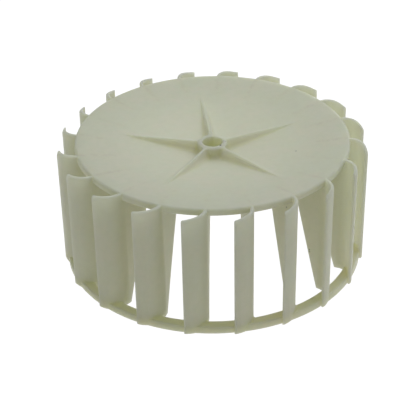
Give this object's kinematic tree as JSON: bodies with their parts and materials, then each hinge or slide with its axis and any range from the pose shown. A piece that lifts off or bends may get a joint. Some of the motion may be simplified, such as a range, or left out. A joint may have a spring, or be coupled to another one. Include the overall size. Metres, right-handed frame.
{
  "type": "blower wheel",
  "caption": "Centrifugal blower wheel for a tumble dryer: a dished, ribbed back disc with a bored hub, a circle of hooked blades and a thin ring that joins their feet.",
  "frame": {"origin": "on the wheel's axis, level with the bottom of the ring that joins the blades' feet", "axes": "+Z along the shaft towards the disc side, +X and +Y across the wheel"},
  "size_m": [0.195, 0.195, 0.0825],
  "materials": {
    "wheel_plastic": "uncoloured ivory plastic, slightly translucent, soft satin"
  },
  "bodies": {
    "root": {"blower_wheel": "wheel_plastic"}
  },
  "joints": []
}
